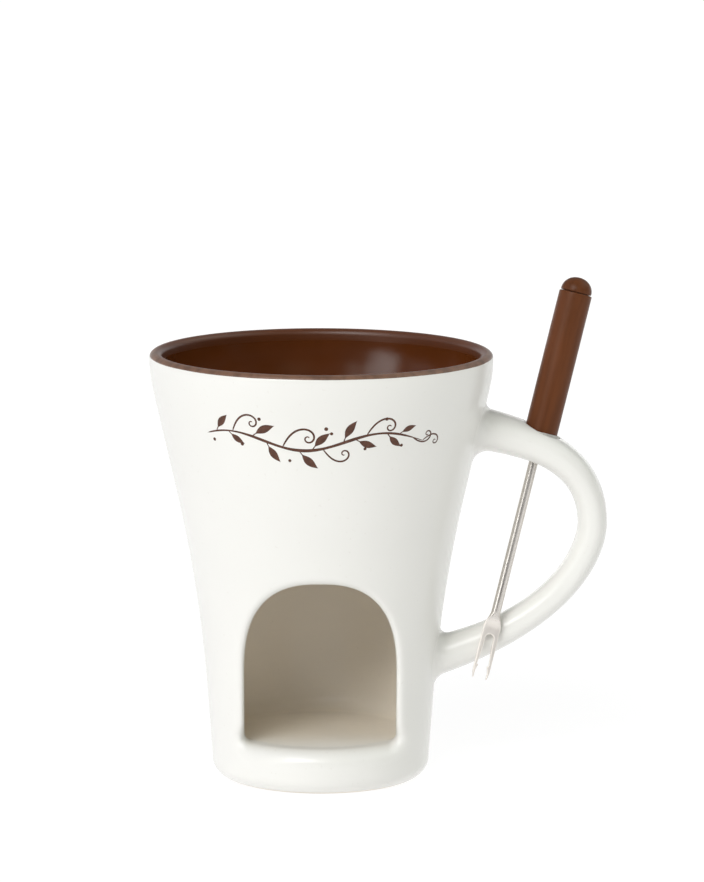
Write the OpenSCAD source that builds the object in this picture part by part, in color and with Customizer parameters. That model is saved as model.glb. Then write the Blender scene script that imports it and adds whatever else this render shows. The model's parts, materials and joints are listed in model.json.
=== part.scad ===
// Chocolate fondue mug with its fork.
// A stoneware mug holds the chocolate in its bowl and a tealight in the chamber below, behind an arched opening.
// The fork hangs in a stepped hole through the upper limb of the loop handle.
// The frame has its origin at the centre of the foot's underside, +Z up, the opening towards -Y, the handle on +X.

/* [Mug] */
// Diameter over the rim
rim_d = 110; // [100:1:120]
// Height of the rim above the table
mug_h = 138; // [130:1:146]
// Diameter that the lower wall has where it would meet the table
base_d = 69; // [62:1:74]
// Taper of the wall beside the chamber, in degrees from upright
foot_taper = 4.2; // [2:0.1:6]
// Thickness of the stoneware wall
wall = 4; // [3.5:0.1:5]
// Thickness of the brown glaze in the bowl
glaze_t = 0.4; // [0.3:0.05:0.6]
// Height of the bowl's floor, on top of its glaze
bowl_floor_z = 76; // [74:0.5:84]

/* [Burner chamber] */
// Height of the chamber's floor, where the tealight stands
chamber_floor_z = 14.5; // [12:0.5:18]
// Width of the arched opening
arch_w = 48.4; // [42:0.2:52]
// Height of the crown of the opening above the table
arch_top_z = 69.5; // [60:0.5:70]
// Depth of the recess under the foot
foot_recess = 9.5; // [6:0.5:9.5]

/* [Handle] */
// Reach of the handle's centre line from the mug's axis
handle_reach = 87.2; // [84:0.2:92]
// Thickness of the handle in its own plane, at its outermost point
handle_t = 9.4; // [8:0.2:12]
// Depth of the handle from front to back, at its outermost point
handle_depth = 15; // [12:0.5:18]

/* [Fork] */
// Lean of the fork sideways, in degrees
fork_lean = 14; // [12:0.5:16]
// Lean of the fork's tines towards the front, in degrees
fork_tilt = 8; // [7.5:0.5:10]
// Diameter of the grip
grip_d = 10.7; // [9:0.1:11]
// Length of the grip without its cap
grip_l = 50; // [40:1:60]
// Diameter of the steel rod
rod_d = 3; // [2.5:0.1:3.5]
// Distance from the grip's lower end to the tips of the tines
rod_reach = 77.5; // [70:0.5:80]
// Width over the two tines
head_w = 5.6; // [4:0.1:5.8]

/* [Hidden] */
$fn = 96;

// Heights where the outer wall changes: straight, curved, straight, curved to upright at the lip
curve_start_z = 28;
curve_end_z = 93;
lip_start_z = 126;
lip_r = wall / 2;
lip_z = mug_h - lip_r;

// Slopes, as radius gained for each millimetre of height
slope_low = tan(foot_taper);
slope_high = (rim_d / 2 - base_d / 2 - slope_low * (curve_start_z + curve_end_z) / 2)
    / ((curve_end_z - curve_start_z) / 2 + (lip_start_z - curve_end_z) + (lip_z - lip_start_z) / 2);

// Foot
foot_corner_r = 6;
foot_ring_inner_r = 25;
recess_corner_r = 4;

// Rounded corners inside
chamber_wall = 4.2;
chamber_floor_r = 5;
chamber_ceiling_z = 71.5;
chamber_ceiling_r = 8;
bowl_floor_r = 18;

// Where the brown glaze ends on the outside of the lip, in degrees above the lip's centre
glaze_edge_angle = 30;

// Opening
arch_shoulder_z = 38;
arch_power = 2.5;
arch_corner_r = 3;

// Fork hole and fit
hole_x = 69.75;
hole_z = 109;
grip_hole_d = grip_d + 1.3;
rod_hole_d = 7;
shoulder_t = -1;
grip_end_t = shoulder_t + 0.05;
cut_over = 20;

// Fork details
tang_l = 32;
tang_fit = 0.02;
cap_r = grip_d / 2 - 0.35;
cap_gap = 0.05;
spigot_d = 5;
spigot_l = 6;
grip_chamfer = 0.5;
head_t = 1;
head_l = 22;
notch_w = 2.7;
tine_tip_w = 0.7;
tine_l = 14.5;
barb_w = 0.5;

// Grows from 0 at height a, with a slope that rises evenly to 1 at height b and stays there
function ramp(z, a, b) = z < a ? 0 : z < b ? pow(z - a, 2) / (2 * (b - a)) : (b - a) / 2 + (z - b);

// Radius of the outer wall at height z
function outer_r(z) = base_d / 2 + slope_low * z
    + (slope_high - slope_low) * ramp(z, curve_start_z, curve_end_z)
    - slope_high * ramp(z, lip_start_z, lip_z);

// Points on an arc about [x, z], from angle a0 to a1, in n steps
function arc(x, z, r, a0, a1, n) = [for (i = [0 : n]) let (a = a0 + (a1 - a0) * i / n) [x + r * cos(a), z + r * sin(a)]];

// Points up the wall at an inset from its outer face, from z0 to z1, in n steps
function wall_line(inset, z0, z1, n) = [for (i = [0 : n]) let (z = z0 + (z1 - z0) * i / n) [outer_r(z) - inset, z]];

function reversed(list) = [for (i = [len(list) - 1 : -1 : 0]) list[i]];

// Half section of the mug as if it were solid, with a lip of radius r_inner inside the glaze's edge
module outer_section(r_inner) {
    wall_low_z = foot_corner_r * (1 + sin(foot_taper));
    corner_x = outer_r(wall_low_z) - foot_corner_r * cos(foot_taper);
    polygon(concat(
        [[0, 0]],
        arc(corner_x, foot_corner_r, foot_corner_r, -90, -foot_taper, 7),
        wall_line(0, wall_low_z + 0.5, curve_start_z, 1),
        wall_line(0, curve_start_z + 5, curve_end_z, 12),
        wall_line(0, lip_start_z, lip_z, 4),
        arc(rim_d / 2 - lip_r, lip_z, lip_r, 10, glaze_edge_angle, 2),
        arc(rim_d / 2 - lip_r, lip_z, r_inner, glaze_edge_angle, 180, 12),
        [[0, lip_z]]
    ));
}

// Half section of the bowl's hollow, grown by the given amount
module bowl_section(grow) {
    inset = wall - grow;
    floor_z = bowl_floor_z - grow;
    corner_r = bowl_floor_r + grow;
    turn_z = bowl_floor_z + bowl_floor_r;
    polygon(concat(
        [[0, floor_z]],
        arc(outer_r(turn_z) - inset - corner_r, turn_z, corner_r, -90, 0, 10),
        wall_line(inset, turn_z + 4, lip_start_z, 5),
        wall_line(inset, lip_start_z + 2.5, lip_z, 3),
        [[0, lip_z]]
    ));
}

// Half section of the burner chamber
module chamber_section() {
    low_z = chamber_floor_z + chamber_floor_r;
    high_z = chamber_ceiling_z - chamber_ceiling_r;
    polygon(concat(
        [[0, chamber_floor_z]],
        arc(outer_r(low_z) - chamber_wall - chamber_floor_r, low_z, chamber_floor_r, -90, 0, 6),
        wall_line(chamber_wall, low_z + 3, high_z - 3, 8),
        arc(outer_r(high_z) - chamber_wall - chamber_ceiling_r, high_z, chamber_ceiling_r, 0, 90, 6),
        [[0, chamber_ceiling_z]]
    ));
}

// Half section of the recess under the foot
module recess_section() {
    polygon(concat(
        [[0, -1], [foot_ring_inner_r, -1]],
        arc(foot_ring_inner_r - recess_corner_r, foot_recess - recess_corner_r, recess_corner_r, 0, 90, 5),
        [[0, foot_recess]]
    ));
}

// Outline of the opening: flat sill with round corners, upright sides and a superelliptic crown
module arch_outline() {
    half_w = arch_w / 2;
    rise = arch_top_z - arch_shoulder_z;
    steps = 32;
    crown = [for (i = [0 : steps]) let (a = 180 * i / steps, c = cos(a))
        [half_w * sign(c) * pow(abs(c), 2 / arch_power), arch_shoulder_z + rise * pow(sin(a), 2 / arch_power)]];
    polygon(concat(
        arc(-half_w + arch_corner_r, chamber_floor_z + arch_corner_r, arch_corner_r, 180, 270, 4),
        arc(half_w - arch_corner_r, chamber_floor_z + arch_corner_r, arch_corner_r, 270, 360, 4),
        crown
    ));
}

module mug_body() {
    color("#f2f0ea")
    difference() {
        rotate_extrude()
        difference() {
            outer_section(lip_r - glaze_t);
            bowl_section(glaze_t);
            chamber_section();
            recess_section();
        }
        rotate([90, 0, 0])
        linear_extrude(height = rim_d / 2)
        arch_outline();
    }
}

// The fired glaze: a thin skin over the bowl and the crest of the lip
module bowl_glaze() {
    color("#4a2412")
    rotate_extrude()
    union() {
        difference() {
            bowl_section(glaze_t);
            bowl_section(0);
        }
        polygon(concat(
            arc(rim_d / 2 - lip_r, lip_z, lip_r, glaze_edge_angle, 180, 12),
            reversed(arc(rim_d / 2 - lip_r, lip_z, lip_r - glaze_t, glaze_edge_angle, 180, 12))
        ));
    }
}

// Handle: an oval section carried along two Bezier curves in the XZ plane
handle_upper = [[40, 115.5], [60, 111.3], [handle_reach, 108], [handle_reach, 82.3]];
handle_lower = [[handle_reach, 82.3], [handle_reach, 75], [79.6, 47.8], [26, 36]];
handle_rings = 20;
handle_sides = 24;
handle_power = 2.3;

// Extra thickness and depth along the handle, at fractions of its length
handle_extra_t = [[0, 6.2], [0.25, 1.2], [0.5, 0], [0.75, 0], [0.9, 1.2], [1, 4]];
handle_extra_depth = [[0, 6], [0.25, 4], [0.5, 0], [0.75, -2], [0.9, -1.6], [1, 2]];

function bezier(p, t) = pow(1 - t, 3) * p[0] + 3 * pow(1 - t, 2) * t * p[1] + 3 * (1 - t) * t * t * p[2] + t * t * t * p[3];
function bezier_way(p, t) = 3 * pow(1 - t, 2) * (p[1] - p[0]) + 6 * (1 - t) * t * (p[2] - p[1]) + 3 * t * t * (p[3] - p[2]);

// One ring of the handle at fraction t of one curve; u is the fraction of the whole length
function handle_ring(p, t, u) =
    let (
        centre = bezier(p, t),
        way = bezier_way(p, t) / norm(bezier_way(p, t)),
        half_t = (handle_t + lookup(u, handle_extra_t)) / 2,
        half_depth = (handle_depth + lookup(u, handle_extra_depth)) / 2
    )
    [for (i = [0 : handle_sides - 1])
        let (
            a = 360 * i / handle_sides,
            across = half_t * sign(cos(a)) * pow(abs(cos(a)), 2 / handle_power),
            depth = half_depth * sign(sin(a)) * pow(abs(sin(a)), 2 / handle_power)
        )
        [centre[0] - way[1] * across, depth, centre[1] + way[0] * across]];

module handle_sweep() {
    rings = concat(
        [for (i = [0 : handle_rings]) handle_ring(handle_upper, i / handle_rings, 0.5 * i / handle_rings)],
        [for (i = [1 : handle_rings]) handle_ring(handle_lower, i / handle_rings, 0.5 + 0.5 * i / handle_rings)]
    );
    points = [for (ring = rings) for (p = ring) p];
    last = len(rings) - 1;
    sides = [for (r = [0 : last - 1]) for (i = [0 : handle_sides - 1])
        let (a = r * handle_sides + i, b = r * handle_sides + (i + 1) % handle_sides)
        for (f = [[a, b, b + handle_sides], [a, b + handle_sides, a + handle_sides]]) f];
    start_cap = [for (i = [handle_sides - 1 : -1 : 0]) i];
    end_cap = [for (i = [0 : handle_sides - 1]) last * handle_sides + i];
    polyhedron(points = points, faces = concat(sides, [start_cap], [end_cap]), convexity = 6);
}

// Places its children on the fork's axis: local +Z runs up the fork, and 0 is at the middle of the hole
module on_fork_axis() {
    translate([hole_x, 0, hole_z])
    rotate([-fork_tilt, fork_lean, 0])
    children();
}

module mug_handle() {
    color("#f0eee8")
    difference() {
        handle_sweep();
        rotate_extrude()
        outer_section(lip_r);
        on_fork_axis() {
            translate([0, 0, shoulder_t])
            cylinder(h = cut_over, d = grip_hole_d);
            translate([0, 0, -cut_over])
            cylinder(h = 2 * cut_over, d = rod_hole_d);
        }
    }
}

// Flat head of the fork in its own plane: x across, y along the axis, 0 at the tips
module head_outline() {
    half_w = head_w / 2;
    half_notch = notch_w / 2;
    shoulder_y = tine_l + 2.2;
    polygon([
        [half_w, 1.6],
        [half_w, shoulder_y],
        [half_w * 0.83, shoulder_y + 2],
        [rod_d / 2 * 1.1, shoulder_y + 3.6],
        [rod_d / 2 * 0.9, head_l],
        [-rod_d / 2 * 0.9, head_l],
        [-rod_d / 2 * 1.1, shoulder_y + 3.6],
        [-half_w * 0.83, shoulder_y + 2],
        [-half_w, shoulder_y],
        [-half_w, 1.6],
        [-half_w + tine_tip_w * 0.6, 0],
        [-half_w + tine_tip_w, 2.2],
        [-half_w + tine_tip_w + barb_w, 4.4],
        [-half_w + tine_tip_w + 0.1, 4.6],
        [-half_notch, tine_l - half_notch],
        [half_notch, tine_l - half_notch],
        [half_w - tine_tip_w - 0.1, 4.6],
        [half_w - tine_tip_w - barb_w, 4.4],
        [half_w - tine_tip_w, 2.2],
        [half_w - tine_tip_w * 0.6, 0]
    ]);
}

module fork_shaft() {
    head_z = grip_end_t - rod_reach;
    color("silver")
    on_fork_axis()
    union() {
        translate([0, 0, head_z + head_l - 3])
        cylinder(h = rod_reach - head_l + 3 + tang_l, d = rod_d);
        translate([0, head_t / 2, head_z])
        rotate([90, 0, 0])
        linear_extrude(height = head_t)
        difference() {
            head_outline();
            translate([0, tine_l - notch_w / 2])
            circle(d = notch_w, $fn = 48);
        }
    }
}

module fork_grip() {
    color("#5b2d17")
    on_fork_axis()
    translate([0, 0, grip_end_t])
    difference() {
        union() {
            cylinder(h = grip_chamfer, d1 = grip_d - 2 * grip_chamfer, d2 = grip_d);
            translate([0, 0, grip_chamfer])
            cylinder(h = grip_l - 2 * grip_chamfer, d = grip_d);
            translate([0, 0, grip_l - grip_chamfer])
            cylinder(h = grip_chamfer, d1 = grip_d, d2 = grip_d - 2 * grip_chamfer);
        }
        translate([0, 0, -1])
        cylinder(h = tang_l + 1, d = rod_d + tang_fit);
        translate([0, 0, grip_l - spigot_l - 0.5])
        cylinder(h = spigot_l + 1, d = spigot_d + tang_fit);
    }
}

module grip_cap() {
    color("#54280f")
    on_fork_axis()
    translate([0, 0, grip_end_t + grip_l + cap_gap]) {
        intersection() {
            sphere(r = cap_r);
            cylinder(h = 2 * cap_r, r = 2 * cap_r);
        }
        translate([0, 0, -spigot_l])
        cylinder(h = spigot_l + 1, d = spigot_d);
    }
}

mug_body();
mug_handle();
bowl_glaze();
fork_shaft();
fork_grip();
grip_cap();
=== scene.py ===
"""Visual model of a chocolate fondue mug with its fork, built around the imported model.

Lengths are millimetres inside the shape functions and metres in the properties and the meshes. The
frame has its origin under the middle of the foot, +Z up, the arched opening towards -Y and the handle
on +X.
"""

import json
import math

import bmesh
import bpy
import numpy as np
from mathutils import Matrix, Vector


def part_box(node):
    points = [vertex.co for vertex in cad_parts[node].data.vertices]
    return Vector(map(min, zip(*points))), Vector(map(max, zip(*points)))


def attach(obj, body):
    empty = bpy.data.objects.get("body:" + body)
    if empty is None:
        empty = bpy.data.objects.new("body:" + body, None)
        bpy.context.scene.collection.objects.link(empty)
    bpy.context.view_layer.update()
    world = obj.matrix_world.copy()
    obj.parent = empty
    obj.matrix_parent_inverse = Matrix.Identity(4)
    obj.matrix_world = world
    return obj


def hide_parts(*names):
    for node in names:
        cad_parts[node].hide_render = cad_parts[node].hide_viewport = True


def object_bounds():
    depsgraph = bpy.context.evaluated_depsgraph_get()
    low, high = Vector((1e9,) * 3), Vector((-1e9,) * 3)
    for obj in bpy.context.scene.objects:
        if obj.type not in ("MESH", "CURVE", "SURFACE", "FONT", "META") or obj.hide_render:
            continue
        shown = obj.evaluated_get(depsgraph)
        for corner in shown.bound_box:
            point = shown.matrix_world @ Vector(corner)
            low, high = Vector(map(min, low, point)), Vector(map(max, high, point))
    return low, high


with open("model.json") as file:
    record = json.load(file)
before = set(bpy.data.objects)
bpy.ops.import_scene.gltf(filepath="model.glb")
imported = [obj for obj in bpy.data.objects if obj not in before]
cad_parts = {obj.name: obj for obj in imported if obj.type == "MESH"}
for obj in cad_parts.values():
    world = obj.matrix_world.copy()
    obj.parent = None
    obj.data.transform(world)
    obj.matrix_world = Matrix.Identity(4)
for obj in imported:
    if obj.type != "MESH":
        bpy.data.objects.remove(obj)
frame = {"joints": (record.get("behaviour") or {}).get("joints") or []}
CAD_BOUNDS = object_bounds()

bl_info = {
    "name": "Fondue Mug",
    "version": (1, 0, 0),
    "blender": (4, 5, 0),
    "location": "View3D > Sidebar > Fondue",
    "description": "Builds a glazed fondue mug with its loop handle, printed sprig and hanging fork",
    "category": "Add Mesh",
}

MM = 0.001
TURN = 2 * math.pi
QUARTER = math.pi / 2
WELD = 1e-6
SHARP = math.radians(38)


# ---- Sizes and colours ----


def length(name, description, default, low, high):
    """A length property. The default and the limits are millimetres."""
    return bpy.props.FloatProperty(
        name=name, description=description, default=default * MM, min=low * MM, max=high * MM,
        unit="LENGTH", subtype="DISTANCE", precision=5,
    )


def slant(name, description, default, low, high):
    """An angle property. The default and the limits are degrees."""
    return bpy.props.FloatProperty(
        name=name, description=description, default=math.radians(default), min=math.radians(low),
        max=math.radians(high), subtype="ANGLE", unit="ROTATION",
    )


def colour(name, description, default):
    """A linear colour property."""
    return bpy.props.FloatVectorProperty(
        name=name, description=description, default=default, min=0, max=1, size=3, subtype="COLOR",
    )


def share(name, description, default):
    """A factor from 0 to 1."""
    return bpy.props.FloatProperty(
        name=name, description=description, default=default, min=0, max=1, subtype="FACTOR",
    )


def packed_rim_radius():
    """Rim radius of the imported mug: its box is narrowest towards -X, away from the handle."""
    low, high = CAD_BOUNDS
    return min(-low.x, -low.y, high.y) / MM


class FONDUE_PG_mug(bpy.types.PropertyGroup):
    rim_radius: length("Rim radius", "Radius over the rim", packed_rim_radius(), 50, 60)
    height: length(
        "Height", "Height of the rim above the table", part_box("bowl_glaze")[1].z / MM, 130, 146,
    )
    base_radius: length("Base radius", "Radius where the lower wall would meet the table", 34.5, 31, 37)
    foot_taper: slant("Foot taper", "Taper of the wall beside the chamber", 4.2, 2, 6)
    wall: length("Wall", "Thickness of the stoneware wall", 4, 3.5, 5)
    glaze: length("Glaze thickness", "Thickness of the brown glaze in the bowl", 0.4, 0.3, 0.6)
    bowl_floor: length("Bowl floor", "Height of the bowl's floor", 76, 74, 84)
    chamber_floor: length("Chamber floor", "Height of the floor for a tealight", 14.5, 12, 18)
    arch_width: length("Arch width", "Width of the arched opening", 48.4, 42, 52)
    arch_top: length("Arch top", "Height of the crown of the opening", 69.5, 60, 70)
    arch_rounding: length("Arch rounding", "Radius of the rounded edge round the opening", 2.8, 1, 3)
    sill_rounding: length(
        "Sill rounding", "Radius of the rounded front edge of the chamber's floor", 5.3, 2, 5.6,
    )
    foot_recess: length("Foot recess", "Depth of the recess under the foot", 9.5, 6, 9.5)
    body_colour: colour("Glaze colour", "White glaze on the body", (0.80, 0.790, 0.755))
    chamber_colour: colour("Chamber colour", "Thin, warm glaze in the chamber", (0.80, 0.738, 0.640))
    biscuit_colour: colour("Biscuit colour", "Dry stoneware on the foot ring", (0.66, 0.60, 0.50))
    body_roughness: share("Glaze roughness", "Roughness of the white glaze", 0.23)


class FONDUE_PG_bowl(bpy.types.PropertyGroup):
    glaze_colour: colour("Bowl colour", "Brown glaze in the bowl", (0.110, 0.028, 0.0055))
    rim_colour: colour("Rim colour", "Brown glaze, thin over the lip", (0.200, 0.103, 0.064))
    roughness: share("Bowl roughness", "Roughness of the brown glaze", 0.17)
    edge_angle: slant("Edge angle", "Where the glaze ends, above the centre of the lip", 22, 18, 40)


class FONDUE_PG_handle(bpy.types.PropertyGroup):
    reach: length("Reach", "Reach of the handle's centre line from the mug's axis", 87.2, 84, 92)
    thickness: length("Thickness", "Thickness in the handle's plane, at its outermost point", 9.4, 8, 12)
    depth: length("Depth", "Depth from front to back, at its outermost point", 15, 12, 18)
    grip_hole: length("Grip hole", "Diameter of the upper part of the fork hole", 12, 10, 12.5)
    rod_hole: length("Rod hole", "Diameter of the lower part of the fork hole", 7, 6.5, 8)


class FONDUE_PG_fork(bpy.types.PropertyGroup):
    grip_diameter: length("Grip diameter", "Diameter of the brown grip", 10.7, 9, 11)
    grip_length: length("Grip length", "Length of the grip without its cap", 50, 40, 60)
    rod_diameter: length("Rod diameter", "Diameter of the steel rod", 3, 2.5, 3.5)
    rod_reach: length("Rod reach", "From the grip's lower end to the tips of the tines", 77.5, 70, 80)
    head_width: length("Head width", "Width over the two tines", 5.6, 4, 5.8)
    steel_colour: colour("Steel colour", "Polished stainless steel", (0.70, 0.66, 0.62))
    grip_colour: colour("Grip colour", "Brown moulded grip", (0.125, 0.041, 0.015))


class FONDUE_PG_sprig(bpy.types.PropertyGroup):
    height: length("Sprig height", "Height of the sprig's stem above the table", 116.6, 105, 122)
    print_colour: colour("Print colour", "Brown of the printed sprig", (0.075, 0.030, 0.018))


class FONDUE_PG_stage(bpy.types.PropertyGroup):
    floor_radius: length("Floor radius", "Radius of the studio floor", 40000, 5000, 80000)
    floor_colour: colour("Floor colour", "Pale studio floor", (0.20, 0.20, 0.20))


# ---- Meshes ----


def mm(value):
    """A property's metres as millimetres."""
    return value / MM


def grid_faces(rows, columns):
    """Corner numbers of the quads of a grid that is stored row by row."""
    first = (np.arange(rows - 1)[:, None] * columns + np.arange(columns - 1)[None, :]).ravel()
    return np.stack([first, first + 1, first + columns + 1, first + columns], axis=1)


def shell(name, grids, zones=None):
    """One closed mesh object out of grids of points, rows x columns x 3, in millimetres.

    Grids that meet have the same points along their common border and are welded there. A row that
    lies in one point is welded to a pole. Each grid's zone, a number for the grid or for each of its
    rows, goes into the attribute "zone".
    """
    points = []
    faces = []
    zone_values = []
    start = 0
    for grid, zone in zip(grids, zones or [0.0] * len(grids)):
        rows, columns = grid.shape[:2]
        points.append(grid.reshape(-1, 3))
        faces.append(grid_faces(rows, columns) + start)
        zone_values.append(np.broadcast_to(zone, (rows, columns)).ravel())
        start += rows * columns
    mesh = bpy.data.meshes.new(name)
    mesh.from_pydata(np.concatenate(points) * MM, [], np.concatenate(faces))
    layer = mesh.attributes.new("zone", "FLOAT", "POINT")
    layer.data.foreach_set("value", np.concatenate(zone_values).astype(np.float32))
    work = bmesh.new()
    work.from_mesh(mesh)
    bmesh.ops.remove_doubles(work, verts=work.verts, dist=WELD)
    bmesh.ops.recalc_face_normals(work, faces=work.faces)
    open_edges = sum(1 for edge in work.edges if not edge.is_manifold)
    work.to_mesh(mesh)
    work.free()
    if open_edges:
        raise RuntimeError(f"{name} has {open_edges} open edges")
    mesh.shade_smooth()
    mesh.set_sharp_from_angle(angle=SHARP)
    piece = bpy.data.objects.new(name, mesh)
    bpy.context.scene.collection.objects.link(piece)
    return piece


def smooth_step(value, low, high):
    """0 below low, 1 above high, and 3 q^2 - 2 q^3 in between."""
    q = np.clip((value - low) / (high - low), 0, 1)
    return q * q * (3 - 2 * q)


def hermite(q, start, leave, end, arrive):
    """Cubic Hermite curve: start at q 0 and end at q 1, with the slopes leave and arrive."""
    return (
        (2 * q ** 3 - 3 * q ** 2 + 1) * start + (q ** 3 - 2 * q ** 2 + q) * leave
        + (3 * q ** 2 - 2 * q ** 3) * end + (q ** 3 - q ** 2) * arrive
    )


def signed_power(value, power):
    """The size of a value to a power, with the value's own sign."""
    return np.sign(value) * np.abs(value) ** power


def unit(v):
    """Vectors brought to length 1."""
    return v / np.maximum(np.linalg.norm(v, axis=-1, keepdims=True), 1e-12)


def running(steps):
    """Running totals of the steps, from 0."""
    return np.concatenate([[0], np.cumsum(steps)])


def step_lengths(line):
    """Lengths between the neighbouring points of a line."""
    return np.linalg.norm(np.diff(line, axis=0), axis=1)


def sample(wanted, along, line):
    """Points of a flat line at the wanted lengths along it."""
    return np.stack([np.interp(wanted, along, line[:, k]) for k in (0, 1)], axis=-1)


def arc_points(x, z, radius, start, end, steps):
    """Points on an arc about (x, z), angles in degrees."""
    angle = np.radians(np.linspace(start, end, steps + 1))
    return np.stack([x + radius * np.cos(angle), z + radius * np.sin(angle)], axis=1)


def quarter_round(radius, count):
    """A quarter circle in count rows: its offset, which shrinks as 1 - sin, and its depth, 1 - cos."""
    turn = np.linspace(0, QUARTER, count)[:, None]
    return radius * (1 - np.sin(turn)), radius * (1 - np.cos(turn))


def joined(*runs):
    """Profile runs put end to end, without the point that a run shares with the one before."""
    line = np.asarray(runs[0], float)
    for run in runs[1:]:
        run = np.asarray(run, float)
        same = np.allclose(line[-1], run[0], atol=1e-9)
        line = np.concatenate([line, run[1:] if same else run])
    return line


def circle(radius, angle, height):
    """Points at a radius about a local Z axis. Angle 0 is local X."""
    return np.stack(np.broadcast_arrays(radius * np.cos(angle), radius * np.sin(angle), height), axis=-1)


def polar(radius, theta, z):
    """Points at a radius about the mug's axis. Theta 0 faces -Y and grows towards +X."""
    return np.stack(np.broadcast_arrays(radius * np.sin(theta), -radius * np.cos(theta), z), axis=-1)


def bearing(points):
    """Theta of points."""
    return np.arctan2(points[..., 0], -points[..., 1])


def revolve(profile, theta):
    """A profile of (radius, height) carried round the mug's axis."""
    return polar(profile[:, 0, None], theta, profile[:, 1, None])


def window_loop(columns, rows):
    """Places round a window's border, as fractions across and up, from the middle of its lower side."""
    half = columns // 2
    across = np.concatenate([
        np.linspace(0.5, 1, half + 1)[:-1], np.ones(rows), np.linspace(1, 0, columns + 1)[:-1],
        np.zeros(rows), np.linspace(0, 0.5, half + 1),
    ])
    up = np.concatenate([
        np.zeros(half), np.linspace(0, 1, rows + 1)[:-1], np.ones(columns),
        np.linspace(1, 0, rows + 1)[:-1], np.zeros(half + 1),
    ])
    return across, up


# ---- Mug ----

# The outer wall is a straight taper up to CURVE_START, steeper from CURVE_END, and upright at the lip
CURVE_START = 28
CURVE_END = 93
LIP_START = 126
FOOT_CORNER = 6
FOOT_RING_INNER = 25
RECESS_CORNER = 4
RING_EDGE = 0.8
CHAMBER_WALL = 4.2
CHAMBER_FLOOR_CORNER = 5
CHAMBER_CEILING = 71.5
CHAMBER_CEILING_CORNER = 8
BOWL_CORNER = 18
ARCH_SHOULDER = 38
ARCH_POWER = 2.5
ARCH_CORNER = 3
REVEAL_ROUND = 0.8
BEAD = 0.05

THETA_STEPS = 240
THETA = np.linspace(-math.pi, math.pi, THETA_STEPS + 1)
FRONT = THETA_STEPS // 2
# The windows that are left for the arch reach so many steps of theta either side of the front
WALL_WINDOW = 40
WALL_WINDOW_ROWS = 56
WALL_WINDOW_Z = (8, 77)
CHAMBER_WINDOW = 44
PATCH_ROWS = 9


def ramp(z, a, b):
    """0 up to height a, with a slope that rises evenly to 1 at height b and stays there."""
    inside = np.clip(z, a, b)
    return (inside - a) ** 2 / (2 * (b - a)) + np.maximum(z - b, 0)


class MugForm:
    """The mug's wall lines, in millimetres, from its properties."""

    def __init__(self, p):
        self.rim = mm(p.rim_radius)
        self.base = mm(p.base_radius)
        self.taper = p.foot_taper
        self.wall = mm(p.wall)
        self.glaze = mm(p.glaze)
        self.bowl_floor = mm(p.bowl_floor)
        self.chamber_floor = mm(p.chamber_floor)
        self.arch_half = mm(p.arch_width) / 2
        self.arch_top = mm(p.arch_top)
        self.arch_rounding = mm(p.arch_rounding)
        self.sill_rounding = mm(p.sill_rounding)
        self.recess = mm(p.foot_recess)
        self.lip = self.wall / 2
        self.lip_x = self.rim - self.lip
        self.lip_z = mm(p.height) - self.lip
        self.low = math.tan(self.taper)
        middle = (CURVE_START + CURVE_END) / 2
        self.high = (self.rim - self.base - self.low * middle) / (
            (CURVE_END - CURVE_START) / 2 + (LIP_START - CURVE_END) + (self.lip_z - LIP_START) / 2
        )

    def outer(self, z):
        """Outer radius at height z."""
        z = np.asarray(z, float)
        swell = (self.high - self.low) * ramp(z, CURVE_START, CURVE_END)
        return self.base + self.low * z + swell - self.high * ramp(z, LIP_START, self.lip_z)

    def wall_run(self, inset, z0, z1, steps):
        """Points up the wall, inset from its outer face."""
        z = np.linspace(z0, z1, steps + 1)
        return np.stack([self.outer(z) - inset, z], axis=1)

    def place(self, theta, z, inset=0.0):
        """Points on the outer wall, or inset from it."""
        return polar(self.outer(z) - inset, theta, z)

    def sunk(self, points, inset):
        """Points moved level to an inset from the outer wall."""
        return self.place(bearing(points), points[..., 2], inset)

    def normal(self, points):
        """Outward normals of the outer wall beside points."""
        theta = bearing(points)
        z = points[..., 2]
        nudge = 0.1
        slope = (self.outer(z + nudge) - self.outer(z - nudge)) / (2 * nudge)
        return unit(np.stack([np.sin(theta), -np.cos(theta), -slope], axis=-1))

    def chamber_line(self):
        """The chamber's half section, from the middle of its floor to the middle of its ceiling."""
        low = self.chamber_floor + CHAMBER_FLOOR_CORNER
        high = CHAMBER_CEILING - CHAMBER_CEILING_CORNER
        low_x = float(self.outer(low)) - CHAMBER_WALL - CHAMBER_FLOOR_CORNER
        high_x = float(self.outer(high)) - CHAMBER_WALL - CHAMBER_CEILING_CORNER
        return joined(
            [[0, self.chamber_floor], [low_x, self.chamber_floor]],
            arc_points(low_x, low, CHAMBER_FLOOR_CORNER, -90, 0, 60),
            self.wall_run(CHAMBER_WALL, low, high, 60),
            arc_points(high_x, high, CHAMBER_CEILING_CORNER, 0, 90, 60),
            [[0, CHAMBER_CEILING]],
        )


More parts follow.
